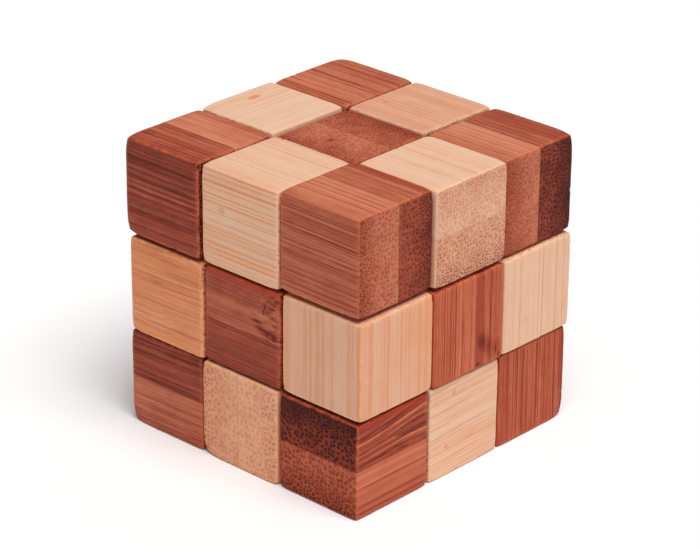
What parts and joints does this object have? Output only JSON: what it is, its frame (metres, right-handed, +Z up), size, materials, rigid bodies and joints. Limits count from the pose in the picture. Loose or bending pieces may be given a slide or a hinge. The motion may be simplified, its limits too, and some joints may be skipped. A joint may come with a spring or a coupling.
{
  "type": "snake cube puzzle",
  "caption": "Snake puzzle packed into its solid cube: dark and light bamboo cubelets in a checkerboard, threaded on one hidden elastic cord.",
  "frame": {"origin": "middle of the packed cube's underside, on the surface that it rests on", "axes": "+Z up, X and Y along the cube's sides; the two faces in view in the usual three-quarter look are -Y (left) and +X (right)"},
  "size_m": [0.0559, 0.0553, 0.0554],
  "materials": {
    "bamboo_dark": "satin",
    "bamboo_light": "satin",
    "elastic_cord": "matt woven jacket",
    "peg_wood": "matt"
  },
  "bodies": {
    "cubelet_01": {"cubelet_01": "bamboo_dark", "cord_01": "elastic_cord", "peg_01": "peg_wood"},
    "cubelet_02": {"cubelet_02": "bamboo_light", "cord_02": "elastic_cord"},
    "cubelet_03": {"cubelet_03": "bamboo_dark", "cord_03": "elastic_cord"},
    "cubelet_04": {"cubelet_04": "bamboo_light", "cord_04": "elastic_cord"},
    "cubelet_05": {"cubelet_05": "bamboo_dark", "cord_05": "elastic_cord"},
    "cubelet_06": {"cubelet_06": "bamboo_light", "cord_06": "elastic_cord"},
    "cubelet_07": {"cubelet_07": "bamboo_dark", "cord_07": "elastic_cord"},
    "cubelet_08": {"cubelet_08": "bamboo_light", "cord_08": "elastic_cord"},
    "cubelet_09": {"cubelet_09": "bamboo_dark", "cord_09": "elastic_cord"},
    "cubelet_10": {"cubelet_10": "bamboo_light", "cord_10": "elastic_cord"},
    "cubelet_11": {"cubelet_11": "bamboo_dark", "cord_11": "elastic_cord"},
    "cubelet_12": {"cubelet_12": "bamboo_light", "cord_12": "elastic_cord"},
    "cubelet_13": {"cubelet_13": "bamboo_dark", "cord_13": "elastic_cord"},
    "cubelet_14": {"cubelet_14": "bamboo_light", "cord_14": "elastic_cord"},
    "cubelet_15": {"cubelet_15": "bamboo_dark", "cord_15": "elastic_cord"},
    "cubelet_16": {"cubelet_16": "bamboo_light", "cord_16": "elastic_cord"},
    "cubelet_17": {"cubelet_17": "bamboo_dark", "cord_17": "elastic_cord"},
    "cubelet_18": {"cubelet_18": "bamboo_light", "cord_18": "elastic_cord"},
    "cubelet_19": {"cubelet_19": "bamboo_dark", "cord_19": "elastic_cord"},
    "cubelet_20": {"cubelet_20": "bamboo_light", "cord_20": "elastic_cord"},
    "cubelet_21": {"cubelet_21": "bamboo_dark", "cord_21": "elastic_cord"},
    "cubelet_22": {"cubelet_22": "bamboo_light", "cord_22": "elastic_cord"},
    "cubelet_23": {"cubelet_23": "bamboo_dark", "cord_23": "elastic_cord"},
    "cubelet_24": {"cubelet_24": "bamboo_light", "cord_24": "elastic_cord"},
    "cubelet_25": {"cubelet_25": "bamboo_dark", "cord_25": "elastic_cord"},
    "cubelet_26": {"cubelet_26": "bamboo_light", "cord_26": "elastic_cord"},
    "cubelet_27": {"cubelet_27": "bamboo_dark", "cord_27": "elastic_cord", "peg_27": "peg_wood"},
    "cord_09_10": {"cord_09_10": "elastic_cord"},
    "cord_18_19": {"cord_18_19": "elastic_cord"}
  },
  "joints": [
    {"name": "stretch_01_02", "type": "slide", "parent": "cubelet_01", "child": "cubelet_02", "axis": [0, 1, 0], "range_m": [0, 0.006], "stiffness_N_per_m": 60, "springref_m": -0.01},
    {"name": "stretch_02_03", "type": "slide", "parent": "cubelet_02", "child": "cubelet_03", "axis": [0, 1, 0], "range_m": [0, 0.006], "stiffness_N_per_m": 60, "springref_m": -0.01},
    {"name": "stretch_03_04", "type": "slide", "parent": "cubelet_03", "child": "cubelet_04", "axis": [1, 0, 0], "range_m": [0, 0.006], "stiffness_N_per_m": 60, "springref_m": -0.01},
    {"name": "stretch_04_05", "type": "slide", "parent": "cubelet_04", "child": "cubelet_05", "axis": [0, -1, 0], "range_m": [0, 0.006], "stiffness_N_per_m": 60, "springref_m": -0.01},
    {"name": "stretch_05_06", "type": "slide", "parent": "cubelet_05", "child": "cubelet_06", "axis": [0, -1, 0], "range_m": [0, 0.006], "stiffness_N_per_m": 60, "springref_m": -0.01},
    {"name": "stretch_06_07", "type": "slide", "parent": "cubelet_06", "child": "cubelet_07", "axis": [1, 0, 0], "range_m": [0, 0.006], "stiffness_N_per_m": 60, "springref_m": -0.01},
    {"name": "stretch_07_08", "type": "slide", "parent": "cubelet_07", "child": "cubelet_08", "axis": [0, 1, 0], "range_m": [0, 0.006], "stiffness_N_per_m": 60, "springref_m": -0.01},
    {"name": "stretch_08_09", "type": "slide", "parent": "cubelet_08", "child": "cubelet_09", "axis": [0, 1, 0], "range_m": [0, 0.006], "stiffness_N_per_m": 60, "springref_m": -0.01},
    {"name": "stretch_09_10", "type": "slide", "parent": "cubelet_09", "child": "cord_09_10", "axis": [0, 0, 1], "range_m": [0, 0.006], "stiffness_N_per_m": 60, "springref_m": -0.01},
    {"name": "twist_09_10", "type": "hinge", "parent": "cord_09_10", "child": "cubelet_10", "pos_m": [0.0184, 0.0184, 0.01825], "axis": [0, 0, 1], "continuous": true},
    {"name": "stretch_10_11", "type": "slide", "parent": "cubelet_10", "child": "cubelet_11", "axis": [-1, 0, 0], "range_m": [0, 0.006], "stiffness_N_per_m": 60, "springref_m": -0.01},
    {"name": "stretch_11_12", "type": "slide", "parent": "cubelet_11", "child": "cubelet_12", "axis": [-1, 0, 0], "range_m": [0, 0.006], "stiffness_N_per_m": 60, "springref_m": -0.01},
    {"name": "stretch_12_13", "type": "slide", "parent": "cubelet_12", "child": "cubelet_13", "axis": [0, -1, 0], "range_m": [0, 0.006], "stiffness_N_per_m": 60, "springref_m": -0.01},
    {"name": "stretch_13_14", "type": "slide", "parent": "cubelet_13", "child": "cubelet_14", "axis": [0, -1, 0], "range_m": [0, 0.006], "stiffness_N_per_m": 60, "springref_m": -0.01},
    {"name": "stretch_14_15", "type": "slide", "parent": "cubelet_14", "child": "cubelet_15", "axis": [1, 0, 0], "range_m": [0, 0.006], "stiffness_N_per_m": 60, "springref_m": -0.01},
    {"name": "stretch_15_16", "type": "slide", "parent": "cubelet_15", "child": "cubelet_16", "axis": [1, 0, 0], "range_m": [0, 0.006], "stiffness_N_per_m": 60, "springref_m": -0.01},
    {"name": "stretch_16_17", "type": "slide", "parent": "cubelet_16", "child": "cubelet_17", "axis": [0, 1, 0], "range_m": [0, 0.006], "stiffness_N_per_m": 60, "springref_m": -0.01},
    {"name": "stretch_17_18", "type": "slide", "parent": "cubelet_17", "child": "cubelet_18", "axis": [-1, 0, 0], "range_m": [0, 0.006], "stiffness_N_per_m": 60, "springref_m": -0.01},
    {"name": "stretch_18_19", "type": "slide", "parent": "cubelet_18", "child": "cord_18_19", "axis": [0, 0, 1], "range_m": [0, 0.006], "stiffness_N_per_m": 60, "springref_m": -0.01},
    {"name": "twist_18_19", "type": "hinge", "parent": "cord_18_19", "child": "cubelet_19", "pos_m": [0, 0, 0.03665], "axis": [0, 0, 1], "continuous": true},
    {"name": "stretch_19_20", "type": "slide", "parent": "cubelet_19", "child": "cubelet_20", "axis": [1, 0, 0], "range_m": [0, 0.006], "stiffness_N_per_m": 60, "springref_m": -0.01},
    {"name": "stretch_20_21", "type": "slide", "parent": "cubelet_20", "child": "cubelet_21", "axis": [0, 1, 0], "range_m": [0, 0.006], "stiffness_N_per_m": 60, "springref_m": -0.01},
    {"name": "stretch_21_22", "type": "slide", "parent": "cubelet_21", "child": "cubelet_22", "axis": [-1, 0, 0], "range_m": [0, 0.006], "stiffness_N_per_m": 60, "springref_m": -0.01},
    {"name": "stretch_22_23", "type": "slide", "parent": "cubelet_22", "child": "cubelet_23", "axis": [-1, 0, 0], "range_m": [0, 0.006], "stiffness_N_per_m": 60, "springref_m": -0.01},
    {"name": "stretch_23_24", "type": "slide", "parent": "cubelet_23", "child": "cubelet_24", "axis": [0, -1, 0], "range_m": [0, 0.006], "stiffness_N_per_m": 60, "springref_m": -0.01},
    {"name": "stretch_24_25", "type": "slide", "parent": "cubelet_24", "child": "cubelet_25", "axis": [0, -1, 0], "range_m": [0, 0.006], "stiffness_N_per_m": 60, "springref_m": -0.01},
    {"name": "stretch_25_26", "type": "slide", "parent": "cubelet_25", "child": "cubelet_26", "axis": [1, 0, 0], "range_m": [0, 0.006], "stiffness_N_per_m": 60, "springref_m": -0.01},
    {"name": "stretch_26_27", "type": "slide", "parent": "cubelet_26", "child": "cubelet_27", "axis": [1, 0, 0], "range_m": [0, 0.006], "stiffness_N_per_m": 60, "springref_m": -0.01}
  ],
  "couplings": [
    {"joint": "stretch_16_17", "follows": "stretch_13_14", "ratio": 1},
    {"joint": "stretch_17_18", "follows": "stretch_15_16", "ratio": 1},
    {"joint": "stretch_19_20", "follows": "stretch_22_23", "ratio": 1},
    {"joint": "stretch_20_21", "follows": "stretch_24_25", "ratio": 1}
  ]
}
